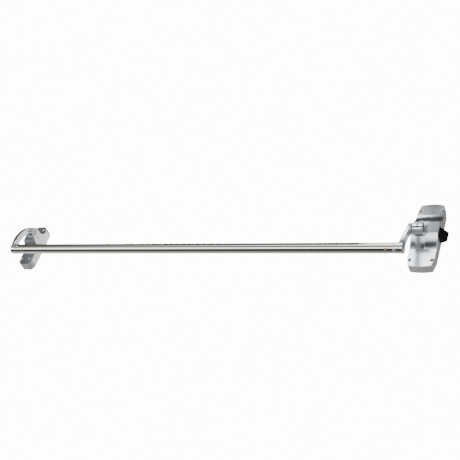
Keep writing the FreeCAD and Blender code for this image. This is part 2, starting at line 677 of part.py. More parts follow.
def make_arm(name, sweep, blade_left, eye_left, spigot_left):
    body = new_body(name)
    points = arm_outline(sweep)
    blade = [
        (*points[0], f"({sweep} + arm_hub_radius)"),
        points[1],
        (*points[2], f"-({sweep} + arm_hub_radius - arm_width)"),
        points[3],
    ]
    pad(body, name + "_blade", "YZ_Plane", blade_left, "arm_thickness", blade)
    pad(body, name + "_hub", "YZ_Plane", blade_left, "arm_thickness",
        circles("arm_hub_radius", ("-pivot_depth", "pivot_z")))
    pad(body, name + "_eye", "YZ_Plane", eye_left, "eye_length",
        circles("eye_diameter / 2", ("-bar_depth", "bar_z")))
    pad(body, name + "_spigot", "YZ_Plane", spigot_left, "spigot_length + 1",
        circles("bar_diameter / 2 - bar_wall - spigot_gap", ("-bar_depth", "bar_z")))
    pocket(body, name + "_shaft_hole", "YZ_Plane", f"{blade_left} - 1",
           "arm_thickness + 2", circles("shaft_radius", ("-pivot_depth", "pivot_z")))
    pin = circles("drive_pin_radius", (f"{blade_left} + arm_thickness / 2", "-pivot_depth"))
    pocket(body, name + "_pin_hole", "XY_Plane", "pivot_z - arm_hub_radius - 1",
           "2 * arm_hub_radius + 2", pin)
    reach = value(f"{sweep} - arm_width")

    def wanted(edge):
        on_side = min(abs(edge.BoundBox.XMin - value(blade_left)),
                      abs(edge.BoundBox.XMax - value(blade_left) - value("arm_thickness"))) < 0.01
        flat = edge.BoundBox.XLength < 0.01
        curved = hasattr(edge.Curve, "Radius") and edge.Curve.Radius > reach
        return flat and on_side and curved

    soften(body, name + "_edges", "arm_edge_round", wanted)
    return finish(body)


LATCH_BLADE = "latch_barrel_left - arm_gap - arm_thickness"
LATCH_EYE = "latch_barrel_left - arm_gap - eye_length"
HINGE_BLADE = f"{HINGE_LEFT} - arm_gap - arm_thickness"
HINGE_EYE = HINGE_BLADE
TUBE_LEFT = f"({HINGE_EYE} + eye_length + tube_end_gap)"
TUBE_RIGHT = f"({LATCH_EYE} - tube_end_gap)"


def make_tube():
    body = new_body("crossbar_tube")
    axis = ("-bar_depth", "bar_z")
    pad(body, "tube_outside", "YZ_Plane", TUBE_LEFT, f"{TUBE_RIGHT} - {TUBE_LEFT}",
        circles("bar_diameter / 2", axis))
    pocket(body, "tube_bore", "YZ_Plane", f"{TUBE_LEFT} - 1",
           f"{TUBE_RIGHT} - {TUBE_LEFT} + 2", circles("bar_diameter / 2 - bar_wall", axis))
    for side, along in set_screw_places():
        pocket(body, f"tube_{side}_screw_hole", "XZ_Plane", "0", "bar_diameter",
               circles("set_screw_radius", ("0", "0")),
               (along, "bar_z", "bar_depth", "set_screw_angle"))
    return finish(body)


def set_screw_places():
    return (("hinge", f"{TUBE_LEFT} + set_screw_x"), ("latch", f"{TUBE_RIGHT} - set_screw_x"))


def make_set_screws():
    """Socket screws through the tube's wall, bearing on the arms' plugs."""
    body = new_body("bar_set_screws")
    outside = "bar_diameter / 2"
    seat = "bar_diameter / 2 - bar_wall - spigot_gap"
    for side, along in set_screw_places():
        tilt = (along, "bar_z", "bar_depth", "set_screw_angle")
        pad(body, f"{side}_set_screw", "XZ_Plane", seat, f"{outside} - ({seat}) + 0.3",
            circles("set_screw_radius", ("0", "0")), tilt)
        pocket(body, f"{side}_screw_socket", "XZ_Plane", f"{outside} - 1", "2",
               hexagon("0", "0", "set_screw_socket"), tilt)
    return finish(body)


def make_shaft(name, left, length):
    body = new_body(name)
    pad(body, name + "_round", "YZ_Plane", left, length,
        circles("shaft_radius", ("-pivot_depth", "pivot_z")))
    return body


def drill_for_pin(body, name, blade_left):
    pin = circles("drive_pin_radius", (f"{blade_left} + arm_thickness / 2", "-pivot_depth"))
    pocket(body, name + "_pin_hole", "XY_Plane", "pivot_z - shaft_radius - 1",
           "2 * shaft_radius + 2", pin)


def make_bush(name, left):
    body = new_body(name)
    axis = ("-pivot_depth", "pivot_z")
    pad(body, name + "_outside", "YZ_Plane", left, "case_wall", circles("bush_radius", axis))
    pocket(body, name + "_bore", "YZ_Plane", f"{left} - 1", "case_wall + 2",
           circles("shaft_radius + shaft_clearance", axis))
    return finish(body)


def make_clip():
    """Retaining ring on the hinge-side shaft, inside the barrel."""
    body = new_body("hinge_shaft_clip")
    axis = ("-pivot_depth", "pivot_z")
    left = f"{HINGE_LEFT} + case_wall + clip_gap"
    pad(body, "clip_ring", "YZ_Plane", left, "clip_thickness", circles("clip_radius", axis))
    pocket(body, "clip_bore", "YZ_Plane", f"{left} - 1", "clip_thickness + 2",
           circles("shaft_radius", axis))
    return finish(body)


def make_drive_pins():
    """Pins that fix the arms to their shafts, one solid each."""
    body = new_body("arm_drive_pins")
    for side, blade_left in (("latch", LATCH_BLADE), ("hinge", HINGE_BLADE)):
        pad(body, f"{side}_drive_pin", "XY_Plane", "pivot_z - arm_hub_radius + 0.5",
            "2 * arm_hub_radius - 1",
            circles("drive_pin_radius", (f"{blade_left} + arm_thickness / 2", "-pivot_depth")))
    return finish(body)


def make_lever():
    """Lever on the cross shaft, with a round tip between the retractor's lugs."""
    body = new_body("lifting_lever")
    arm = rectangle("-pivot_depth", "pivot_z - lever_arm_low", "-pivot_depth + lever_reach",
                    "pivot_z + lever_arm_high")
    pad(body, "lever_arm", "YZ_Plane", "lever_x", "lever_thickness", arm)
    pad(body, "lever_hub", "YZ_Plane", "lever_x", "lever_thickness",
        circles("lever_hub_radius", ("-pivot_depth", "pivot_z")))
    pad(body, "lever_tip", "YZ_Plane", "lever_x", "lever_thickness",
        circles("lever_tip_radius", ("-pivot_depth + lever_reach", "pivot_z")))
    pocket(body, "lever_hole", "YZ_Plane", "lever_x - 1", "lever_thickness + 2",
           circles("shaft_radius", ("-pivot_depth", "pivot_z")))
    return finish(body)


# ---------------------------------------------------------------------------------------------
# Latch works
# ---------------------------------------------------------------------------------------------
def make_bolt():
    """Bolt head: square at the back, bevelled on the side that meets the strike."""
    body = new_body("latch_bolt")
    tip = "case_half_width + bolt_reach"
    plan = [
        ("bolt_body_x", "-bolt_front"),
        ("case_half_width + 0.5", "-bolt_front"),
        (tip, "-bolt_nose_depth"),
        (tip, "-bolt_nose_depth + bolt_tip_flat", "bolt_back_round"),
        ("case_half_width + 2", "-bolt_rear"),
        ("bolt_body_x", "-bolt_rear"),
    ]
    pad(body, "bolt_block", "XY_Plane", "bolt_low_z", "bolt_high_z - bolt_low_z", plan)
    base = body.Tip
    names = []
    for number, edge in enumerate(base.Shape.Edges, start=1):
        box = edge.BoundBox
        front = box.YMax < -value("bolt_rear") - 1
        if box.ZLength < 0.01 and front and box.XMax > value("bolt_body_x") + 1:
            names.append(f"Edge{number}")
    chamfer = body.newObject("PartDesign::Chamfer", "bolt_corners")
    chamfer.Base = (base, names)
    chamfer.setExpression("Size", cells("bolt_corner"))
    doc.recompute()
    pocket(body, "bolt_rod_hole", "YZ_Plane", "bolt_body_x - 1", "rod_grip + 1",
           circles("rod_radius", ("-rod_depth", "rod_z")))
    pocket(body, "bolt_pin_hole", "XZ_Plane", "bolt_rear - 1", "follower_grip + 1",
           circles("follower_radius", ("follower_x", "follower_z")))
    return finish(body)


def make_rod():
    body = new_body("bolt_guide_rod")
    pad(body, "rod_round", "YZ_Plane", "rod_tail_x", "bolt_body_x - rod_tail_x + rod_grip",
        circles("rod_radius", ("-rod_depth", "rod_z")))
    return finish(body)


def make_follower():
    body = new_body("bolt_follower_pin")
    low = "retractor_rear + 0.1"
    pad(body, "follower_round", "XZ_Plane", low, f"bolt_rear + follower_grip - ({low})",
        circles("follower_radius", ("follower_x", "follower_z")))
    return finish(body)


def make_bolt_guide():
    """U-shaped plate on the latch plate that the bolt slides through."""
    body = new_body("bolt_guide")
    inner_low = "bolt_low_z - bolt_gap"
    inner_high = "bolt_high_z + bolt_gap"
    outline = [
        ("-plate_thickness - plate_gap", f"{inner_low} - guide_leg"),
        ("-plate_thickness - plate_gap", f"{inner_high} + guide_leg"),
        ("-bolt_front + 3", f"{inner_high} + guide_leg"),
        ("-bolt_front + 3", inner_high),
        ("-bolt_rear + bolt_gap", inner_high),
        ("-bolt_rear + bolt_gap", inner_low),
        ("-bolt_front + 8", inner_low),
        ("-bolt_front + 8", f"{inner_low} - guide_leg"),
    ]
    pad(body, "guide_plate", "YZ_Plane", "guide_x", "guide_thickness", outline)
    return finish(body)


def make_rod_bracket():
    body = new_body("rod_bracket")
    top = "bracket_foot_z + bracket_foot_height"
    outline = [
        ("-plate_thickness - plate_gap", "bracket_foot_z"),
        ("-plate_thickness - plate_gap", top),
        ("-rod_depth - 5", top),
        ("-rod_depth - 5", "rod_z - 6"),
        ("-rod_depth + 5", "rod_z - 6"),
        ("-rod_depth + 5", "bracket_foot_z"),
    ]
    pad(body, "bracket_plate", "YZ_Plane", "bracket_x", "bracket_thickness", outline)
    pocket(body, "bracket_bore", "YZ_Plane", "bracket_x - 1", "bracket_thickness + 2",
           circles("rod_radius + shaft_clearance", ("-rod_depth", "rod_z")))
    return finish(body)


def slot_outline(from_x, from_z, to_x, to_z, radius):
    """A slot with round ends that runs from one point to a lower one."""
    run = f"sqrt(({from_x} - ({to_x})) ^ 2 + ({from_z} - ({to_z})) ^ 2)"
    across = f"(({from_z} - ({to_z})) / {run} * ({radius}))"
    up = f"(({from_x} - ({to_x})) / {run} * ({radius}))"
    bend = f"({radius}) * 1.0001"
    return [
        (f"{from_x} + {across}", f"{from_z} - {up}", bend),
        (f"{from_x} - {across}", f"{from_z} + {up}"),
        (f"{to_x} - {across}", f"{to_z} + {up}", bend),
        (f"{to_x} + {across}", f"{to_z} - {up}"),
    ]


def make_retractor():
    """Sliding plate: the lever lifts it by its lugs and its sloping slot draws the bolt in."""
    body = new_body("retractor_slide")
    pad(body, "retractor_plate", "XZ_Plane", "retractor_rear", "retractor_thickness",
        rectangle("retractor_left_x", "retractor_low_z", "retractor_right_x",
                  "retractor_high_z"))
    front = "retractor_rear + retractor_thickness"
    lug_room = "lever_tip_radius + lever_gap"
    lugs = (("low", f"pivot_z - ({lug_room}) - lug_height"), ("high", f"pivot_z + {lug_room}"))
    for side, low in lugs:
        outline = rectangle("lug_left_x", low, "lug_left_x + lug_width", f"{low} + lug_height")
        pad(body, f"{side}_lug", "XZ_Plane", front, f"lug_depth - ({front})", outline)
    cut = "retractor_thickness + 2"
    pocket(body, "draw_slot", "XZ_Plane", "retractor_rear - 1", cut,
           slot_outline("follower_x", "follower_z", "follower_x - bolt_throw",
                        "follower_z - retractor_lift", "follower_radius + slot_gap"))
    for side in ("left", "right"):
        x = f"stud_{side}_x"
        z = f"stud_{side}_z"
        pocket(body, f"{side}_stud_slot", "XZ_Plane", "retractor_rear - 1", cut,
               slot_outline(x, z, x, f"{z} - retractor_lift", "stud_radius + slot_gap"))
    return finish(body)


def make_studs():
    """Headed studs on the latch plate that guide the retractor, one solid each."""
    body = new_body("retractor_studs")
    front = "retractor_rear + retractor_thickness + slot_gap"
    low = "plate_thickness + plate_gap"
    for side in ("left", "right"):
        place = (f"stud_{side}_x", f"stud_{side}_z")
        pad(body, f"{side}_stud", "XZ_Plane", low, f"{front} - ({low})",
            circles("stud_radius", place))
        pad(body, f"{side}_stud_head", "XZ_Plane", front, "stud_head_height",
            circles("stud_head_radius", place))
    return finish(body)


def make_hub():
    """Hub that an outside lever's square spindle turns."""
    body = new_body("trim_hub")
    pad(body, "hub_barrel", "XZ_Plane", "0", "plate_thickness + plate_gap + 0.3",
        circles("hub_radius - turning_clearance", ("hub_x", "hub_z")))
    flange = "plate_thickness + plate_gap + 0.3"
    pad(body, "hub_flange", "XZ_Plane", flange, "hub_flange_thickness",
        circles("hub_flange_radius", ("hub_x", "hub_z")))
    finger = rectangle("hub_x", "hub_z - hub_finger_width / 2", "hub_x + hub_finger",
                       "hub_z + hub_finger_width / 2")
    pad(body, "hub_finger_bar", "XZ_Plane", flange, "hub_flange_thickness", finger)
    half = "hub_square / 2"
    square = rectangle(f"hub_x - {half}", f"hub_z - {half}", f"hub_x + {half}",
                       f"hub_z + {half}")
    pocket(body, "hub_square_hole", "XZ_Plane", "-1", "plate_thickness + 8", square)
    return finish(body)


def make_cam():
    """Dogging cam in the side of the hinge case, turned with a hexagon key."""
    body = new_body("dogging_cam")
    right = f"({HINGE_RIGHT} - cam_recess)"
    axis = ("-cam_depth", "cam_z")
    pad(body, "cam_round", "YZ_Plane", f"{right} - cam_length", "cam_length",
        circles("cam_radius - turning_clearance", axis))
    pocket(body, "cam_hexagon", "YZ_Plane", f"{right} - 2.5", "4",
           hexagon("-cam_depth", "cam_z", "cam_socket / 2"))
    return finish(body)


# ---------------------------------------------------------------------------------------------
# Springs: a round wire swept along a helix
# ---------------------------------------------------------------------------------------------
def make_spring(name, start, depth, height, coil, wire, pitch, length):
    """Coil spring along X.  The helix and its wire come from the sheet's sizes."""
    helix = Part.makeHelix(value(pitch), value(length), value(coil))
    section = Part.Wire(Part.makeCircle(value(wire), FreeCAD.Vector(value(coil), 0, 0),
                                        FreeCAD.Vector(0, 1, 0)))
    shape = Part.Wire(helix).makePipeShell([section], True, True)
    item = doc.addObject("Part::Feature", name)
    item.Label = name
    item.Shape = shape
    turn = FreeCAD.Rotation(FreeCAD.Vector(0, 1, 0), 90)
    place = FreeCAD.Vector(value(start), -value(depth), value(height))
    item.Placement = FreeCAD.Placement(place, turn)
    return finish(item)


# ---------------------------------------------------------------------------------------------
# The device
# ---------------------------------------------------------------------------------------------
make_latch_cover()
latch_plate = make_plate("latch_base_plate", "0", "0",
                         "case_half_width - case_wall - plate_gap",
                         "plate_half_height - plate_gap", "latch_screw_x", "latch_screw_z")
pocket(latch_plate, "hub_hole", "XZ_Plane", "-1", "plate_thickness + 2",
       circles("hub_radius", ("hub_x", "hub_z")))
finish(latch_plate)
make_plate_screws("latch_plate_screws", "0", "0", "latch_screw_x", "latch_screw_z")
make_bush("latch_bush_inner", "latch_barrel_left")
make_bush("latch_bush_outer", f"{BARREL_RIGHT} - case_wall")
make_bolt_guide()
make_rod_bracket()
make_studs()

make_hinge_cover()
finish(make_plate("hinge_base_plate", "hinge_case_x", "hinge_case_z",
                  "hinge_half_width - case_wall - plate_gap",
                  "hinge_plate_half_height - plate_gap", "hinge_screw_x", "hinge_screw_z"))
make_plate_screws("hinge_plate_screws", "hinge_case_x", "hinge_case_z", "hinge_screw_x", "hinge_screw_z")
make_bush("hinge_bush", HINGE_LEFT)

make_tube()
make_arm("latch_arm", "latch_arm_sweep", LATCH_BLADE, LATCH_EYE, f"{LATCH_EYE} - spigot_length")
make_arm("hinge_arm", "hinge_arm_sweep", HINGE_BLADE, HINGE_EYE, f"{HINGE_EYE} + eye_length - 1")
latch_shaft = make_shaft("latch_cross_shaft", LATCH_BLADE,
                         f"{BARREL_RIGHT} - ({LATCH_BLADE}) - 0.2")
drill_for_pin(latch_shaft, "latch_shaft", LATCH_BLADE)
finish(latch_shaft)
hinge_shaft = make_shaft("hinge_cross_shaft", HINGE_BLADE,
                         f"{HINGE_RIGHT} - hinge_end_wall - clip_gap - ({HINGE_BLADE})")
drill_for_pin(hinge_shaft, "hinge_shaft", HINGE_BLADE)
finish(hinge_shaft)
make_clip()
make_drive_pins()
make_lever()
make_set_screws()

make_bolt()
make_rod()
make_follower()
make_retractor()
make_hub()
make_cam()

make_spring("bolt_spring", "bracket_x + bracket_thickness + bolt_spring_wire + 0.2", "rod_depth",
            "rod_z", "bolt_spring_radius", "bolt_spring_wire", "3.5", "24.5")
make_spring("latch_return_spring", "latch_barrel_left + case_wall + 8.5", "pivot_depth",
            "pivot_z", "spring_coil", "spring_wire", "spring_pitch",
            "spring_pitch * spring_turns")
# ---------------------------------------------------------------------------------------------
# Checks and output
# ---------------------------------------------------------------------------------------------
doc.recompute()
faults = []
for item in doc.Objects:
    if "Invalid" in item.State or "Error" in item.State:
        faults.append(f"{item.Name} failed")
for item in NODES:
    if item.Shape.isNull() or not item.Shape.isValid():
        faults.append(f"{item.Label} has no valid shape")
if faults:
    raise RuntimeError("; ".join(faults))
os.makedirs("parts", exist_ok=True)
for item in NODES:
    item.Shape.exportStep(f"parts/{item.Label}.step")
    print(item.Label, len(item.Shape.Solids), round(item.Shape.Volume))
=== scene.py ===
# %% [markdown]
# A crossbar exit device: a round push bar on two arms, one nearly straight and one bowed, between
# a latch case and a smaller hinge-side case.  The castings, the tube, the arms and the works come
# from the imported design, and this lesson gives each of them the finish of the real metal.  The
# turned trims that a drawing leaves out are worked out here as surfaces and ride on the same
# bodies.

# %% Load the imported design
import math

import bmesh
import bpy
import numpy as np
from mathutils import Matrix, Vector


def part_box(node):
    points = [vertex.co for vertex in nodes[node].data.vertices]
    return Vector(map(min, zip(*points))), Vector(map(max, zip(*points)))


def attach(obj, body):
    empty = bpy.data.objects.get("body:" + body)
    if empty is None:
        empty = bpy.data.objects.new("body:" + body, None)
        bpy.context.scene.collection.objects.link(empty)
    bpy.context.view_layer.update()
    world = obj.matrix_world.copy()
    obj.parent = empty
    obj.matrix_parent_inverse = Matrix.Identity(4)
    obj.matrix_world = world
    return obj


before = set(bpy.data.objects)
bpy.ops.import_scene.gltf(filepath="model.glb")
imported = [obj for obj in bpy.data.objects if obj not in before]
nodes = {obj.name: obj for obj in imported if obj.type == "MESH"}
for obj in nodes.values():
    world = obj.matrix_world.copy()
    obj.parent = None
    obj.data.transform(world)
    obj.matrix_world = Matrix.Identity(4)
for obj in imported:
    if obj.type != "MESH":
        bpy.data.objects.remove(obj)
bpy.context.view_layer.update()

# %% [markdown]
# Colours are picked as sRGB hex values, because that is how paint charts and screens give them.
# Blender's sockets want linear light, so one function turns the one into the other.  A second
# small function adds a node with its settings and its links, so each finish reads as a list.

# %% Colour and node helpers
MM = 0.001


def linear(hex_colour):
    """Linear RGBA of an sRGB hex colour: the inverse of the sRGB curve on each channel."""
    levels = np.array([int(hex_colour[i:i + 2], 16) for i in (1, 3, 5)]) / 255
    curve = np.where(levels <= 0.04045, levels / 12.92, ((levels + 0.055) / 1.055) ** 2.4)
    return (*curve.tolist(), 1.0)


def add_node(tree, kind, settings, links):
    """Add one node.  A setting is a property or an input's constant; a link feeds an input."""
    made = tree.nodes.new(kind)
    for name, number in settings.items():
        if isinstance(name, int) or name in made.inputs:
            made.inputs[name].default_value = number
        else:
            setattr(made, name, number)
    for name, output in links.items():
        tree.links.new(output, made.inputs[name])
    return made


def set_ramp(ramp, stops):
    """Set a colour ramp's stops from (position, hex colour) pairs."""
    while len(ramp.elements) < len(stops):
        ramp.elements.new(0.5)
    for element, (position, colour) in zip(ramp.elements, stops):
        element.position = position
        element.color = linear(colour)


def start_material(name):
    """A new material with an empty tree, its output and a coordinate node in object space."""
    material = bpy.data.materials.new(name)
    material.use_nodes = True
    material.node_tree.nodes.clear()
    place = add_node(material.node_tree, "ShaderNodeTexCoord", {}, {})
    return material, material.node_tree, place.outputs["Object"]


def finish_material(tree, shader):
    """Send a shader to the material's output."""
    add_node(tree, "ShaderNodeOutputMaterial", {}, {"Surface": shader.outputs[0]})


# %% [markdown]
# Satin stainless tube.  The real bar is drawn 25 mm tube, polished lengthwise on a belt, so it
# mirrors the room in long clean stripes with fine scratches along it.  The grit's lines are
# about 0.2 mm apart, too fine for a full view, so they are drawn at 0.6 mm and 0.25 m long.
# Long soft patches of slightly higher roughness stand for hands and cloths along the bar.

# %% Satin stainless of the push bar
def lengthwise_metal(name, colours, rough_low, rough_high, line_mm, run_mm, bump):
    """Metal with scratches along X: noise squeezed across the bar, shared by colour and bump."""
    material, tree, place = start_material(name)
    stretch = (1 / (run_mm * MM), 1 / (line_mm * MM), 1 / (line_mm * MM))
    squeezed = add_node(tree, "ShaderNodeMapping", {"Scale": stretch}, {"Vector": place})
    lines = add_node(tree, "ShaderNodeTexNoise", {"Scale": 1.0, "Detail": 4.0, "Roughness": 0.6},
                     {"Vector": squeezed.outputs[0]})
    patches = add_node(tree, "ShaderNodeTexNoise", {"Scale": 9.0, "Detail": 2.0},
                       {"Vector": place})
    tint = add_node(tree, "ShaderNodeValToRGB", {}, {0: lines.outputs[0]})
    set_ramp(tint.color_ramp, [(0.3, colours[0]), (0.7, colours[1])])
    gloss = add_node(tree, "ShaderNodeMapRange",
                     {"From Min": 0.3, "From Max": 0.7, "To Min": rough_low,
                      "To Max": rough_high}, {"Value": patches.outputs[0]})
    relief = add_node(tree, "ShaderNodeBump", {"Strength": bump, "Distance": 0.02 * MM},
                      {"Height": lines.outputs[0]})
    shader = add_node(tree, "ShaderNodeBsdfPrincipled", {"Metallic": 1.0},
                      {"Base Color": tint.outputs[0], "Roughness": gloss.outputs[0],
                       "Normal": relief.outputs[0]})
    finish_material(tree, shader)
    return material


satin_stainless = lengthwise_metal("satin_stainless_tube", ("#C6C1B6", "#DCD8CE"),
                                   0.06, 0.11, 0.6, 250, 0.4)
ground_shaft = lengthwise_metal("ground_shaft_steel", ("#A6A8AA", "#BFC1C2"),
                                0.16, 0.26, 0.4, 30, 0.4)
print("bar and shaft steels made")

# %% [markdown]
# Cast aluminium.  Each case is a die casting whose front has been linished on a wide belt, with
# its grain along the bar, while the side walls keep the sandy skin of the blasted casting.  The
# surface's own direction tells the two apart: a face that looks out from the door is satin, one
# that looks sideways, up or down is sandy.  The blast marks are about 0.5 mm and are drawn at
# 0.9 mm so that they show.  A rounded-edge normal softens the corners that tumbling rounds.

# %% Cast aluminium with a satin front and sandy walls
def facing_mask(tree, axis, low, high):
    """How squarely a face looks along one axis: 0 below 'low' and 1 above 'high'."""
    surface = add_node(tree, "ShaderNodeNewGeometry", {}, {})
    split = add_node(tree, "ShaderNodeSeparateXYZ", {}, {0: surface.outputs["Normal"]})
    size = add_node(tree, "ShaderNodeMath", {"operation": "ABSOLUTE"}, {0: split.outputs[axis]})
    return add_node(tree, "ShaderNodeMapRange",
                    {"From Min": low, "From Max": high, "interpolation_type": "SMOOTHSTEP"},
                    {"Value": size.outputs[0]})


def two_finish_metal(name, axis, band, bright, sandy, rough, grain_mm, sand_mm):
    """Cast metal: 'bright' finish on faces along an axis, 'sandy' finish on the others."""
    material, tree, place = start_material(name)
    mask = facing_mask(tree, axis, *band)
    stretch = (1 / (20 * grain_mm * MM), 1 / (grain_mm * MM), 1 / (grain_mm * MM))
    squeezed = add_node(tree, "ShaderNodeMapping", {"Scale": stretch}, {"Vector": place})
    grain = add_node(tree, "ShaderNodeTexNoise", {"Scale": 1.0, "Detail": 3.0},
                     {"Vector": squeezed.outputs[0]})
    sand = add_node(tree, "ShaderNodeTexNoise",
                    {"Scale": 1 / (sand_mm * MM), "Detail": 3.0, "Roughness": 0.65},
                    {"Vector": place})
    cloud = add_node(tree, "ShaderNodeTexNoise", {"Scale": 28.0, "Detail": 3.0},
                     {"Vector": place})
    bright_tint = add_node(tree, "ShaderNodeValToRGB", {}, {0: grain.outputs[0]})
    set_ramp(bright_tint.color_ramp, [(0.3, bright[0]), (0.7, bright[1])])
    sandy_tint = add_node(tree, "ShaderNodeValToRGB", {}, {0: sand.outputs[0]})
    set_ramp(sandy_tint.color_ramp, [(0.3, sandy[0]), (0.7, sandy[1])])
    tint = add_node(tree, "ShaderNodeMix", {"data_type": "RGBA"},
                    {0: mask.outputs[0], 6: sandy_tint.outputs[0], 7: bright_tint.outputs[0]})
    satin_gloss = add_node(tree, "ShaderNodeMapRange",
                           {"From Min": 0.3, "From Max": 0.7, "To Min": rough[0],
                            "To Max": rough[1]}, {"Value": cloud.outputs[0]})
    sand_gloss = add_node(tree, "ShaderNodeMapRange",
                          {"From Min": 0.3, "From Max": 0.7, "To Min": rough[2],
                           "To Max": rough[3]}, {"Value": sand.outputs[0]})
    gloss = add_node(tree, "ShaderNodeMix", {},
                     {0: mask.outputs[0], 2: sand_gloss.outputs[0], 3: satin_gloss.outputs[0]})
    height = add_node(tree, "ShaderNodeMix", {},
                      {0: mask.outputs[0], 2: sand.outputs[0], 3: grain.outputs[0]})
    deep = add_node(tree, "ShaderNodeMapRange", {"To Min": 0.10 * MM, "To Max": 0.012 * MM},
                    {"Value": mask.outputs[0]})
    rounded = add_node(tree, "ShaderNodeBevel", {"samples": 4, "Radius": 0.8 * MM}, {})
    relief = add_node(tree, "ShaderNodeBump", {"Strength": 0.6},
                      {"Height": height.outputs[0], "Distance": deep.outputs[0],
                       "Normal": rounded.outputs[0]})
    shader = add_node(tree, "ShaderNodeBsdfPrincipled", {"Metallic": 1.0},
                      {"Base Color": tint.outputs[2], "Roughness": gloss.outputs[0],
                       "Normal": relief.outputs[0]})
    finish_material(tree, shader)
    return material


cast_aluminium = two_finish_metal("cast_aluminium_linished", "Y", (0.35, 0.7),
                                  ("#B9BEC4", "#D3D7DB"), ("#B2B3B3", "#CFCFCD"),
                                  (0.17, 0.27, 0.42, 0.6), 0.7, 0.9)
# The arms are the other way round: their sides are satin flats and their edges are buffed.
arm_metal = two_finish_metal("die_cast_arm_buffed_edge", "X", (0.5, 0.9),
                             ("#B4B8BC", "#CCD0D3"), ("#C9CBCC", "#DADCDC"),
                             (0.28, 0.38, 0.10, 0.2), 0.6, 1.4)
print("castings made")

# %% [markdown]
# Black oxide.  The bolt head is hardened steel blackened in a hot salt bath, which leaves a thin
# dark skin that is a little glossy with oil.  Where the bevel rubs on the strike the skin wears
# through to grey, in streaks along the bolt, so the wear follows a height and depth noise.

# %% Black oxide of the bolt
def black_oxide():
    """Near-black steel with grey streaks where noise stretched along X passes a threshold."""
    material, tree, place = start_material("black_oxide_steel")
    squeezed = add_node(tree, "ShaderNodeMapping", {"Scale": (60, 900, 900)}, {"Vector": place})
    streaks = add_node(tree, "ShaderNodeTexNoise", {"Scale": 1.0, "Detail": 5.0},
                       {"Vector": squeezed.outputs[0]})
    skin = add_node(tree, "ShaderNodeTexNoise", {"Scale": 1400.0, "Detail": 3.0},
                    {"Vector": place})
    tint = add_node(tree, "ShaderNodeValToRGB", {}, {0: streaks.outputs[0]})
    set_ramp(tint.color_ramp, [(0.0, "#050506"), (0.66, "#0C0D0F"), (0.84, "#3A3C40")])
    gloss = add_node(tree, "ShaderNodeMapRange",
                     {"From Min": 0.3, "From Max": 0.7, "To Min": 0.3, "To Max": 0.48},
                     {"Value": skin.outputs[0]})
    rounded = add_node(tree, "ShaderNodeBevel", {"samples": 4, "Radius": 0.6 * MM}, {})
    relief = add_node(tree, "ShaderNodeBump", {"Strength": 0.4, "Distance": 0.03 * MM},
                      {"Height": skin.outputs[0], "Normal": rounded.outputs[0]})
    shader = add_node(tree, "ShaderNodeBsdfPrincipled",
                      {"Metallic": 0.3, "Specular IOR Level": 0.3},
                      {"Base Color": tint.outputs[0], "Roughness": gloss.outputs[0],
                       "Normal": relief.outputs[0]})
    finish_material(tree, shader)
    return material


bolt_black = black_oxide()

# %% [markdown]
# Plated and plain small parts.  Zinc plate on pressed steel shows a faint cloudy spangle; a
# yellow passivated screw is the same zinc with a straw to pink film; sintered bronze is a matte
# sponge of tiny grains soaked with oil; drawn spring wire is dark with lines along the draw.
# They share one recipe, a cell pattern for the crystals over fine noise, at each metal's scale.

# %% Small-part metals
def crystal_metal(name, colours, rough_low, rough_high, crystal_mm, bump_mm):
    """Plated or sintered metal: cells of one crystal's size tint it, fine noise roughens it."""
    material, tree, place = start_material(name)
    cells = add_node(tree, "ShaderNodeTexVoronoi", {"Scale": 1 / (crystal_mm * MM)},
                     {"Vector": place})
    fine = add_node(tree, "ShaderNodeTexNoise", {"Scale": 4 / (crystal_mm * MM), "Detail": 3.0},
                    {"Vector": place})
    shade = add_node(tree, "ShaderNodeMix", {0: 0.5},
                     {2: cells.outputs["Color"], 3: fine.outputs[0]})
    tint = add_node(tree, "ShaderNodeValToRGB", {}, {0: shade.outputs[0]})
    steps = np.linspace(0.3, 0.7, len(colours)).tolist()
    set_ramp(tint.color_ramp, list(zip(steps, colours)))
    gloss = add_node(tree, "ShaderNodeMapRange",
                     {"From Min": 0.3, "From Max": 0.7, "To Min": rough_low,
                      "To Max": rough_high}, {"Value": shade.outputs[0]})
    relief = add_node(tree, "ShaderNodeBump", {"Strength": 0.5, "Distance": bump_mm * MM},
                      {"Height": fine.outputs[0]})
    shader = add_node(tree, "ShaderNodeBsdfPrincipled", {"Metallic": 1.0},
                      {"Base Color": tint.outputs[0], "Roughness": gloss.outputs[0],
                       "Normal": relief.outputs[0]})
    finish_material(tree, shader)
    return material


zinc_plate = crystal_metal("zinc_plated_pressed_steel", ("#8E959C", "#A9AFB5", "#BFC4C8"),
                           0.28, 0.44, 4.0, 0.02)
yellow_zinc = crystal_metal("yellow_passivated_zinc", ("#B09C74", "#C9B68E", "#C4A88C"),
                            0.25, 0.4, 1.2, 0.02)
sintered_bronze = crystal_metal("sintered_bronze", ("#6F5433", "#8F6F45", "#A88657"),
                                0.45, 0.65, 0.5, 0.06)
spring_wire = crystal_metal("drawn_spring_wire", ("#4A4C50", "#66696D", "#7E8185"),
                            0.25, 0.4, 0.6, 0.02)

# %% [markdown]
# Each node of the design keeps its own mesh and only changes its material.  The lists say which
# finish each part leaves the works with.

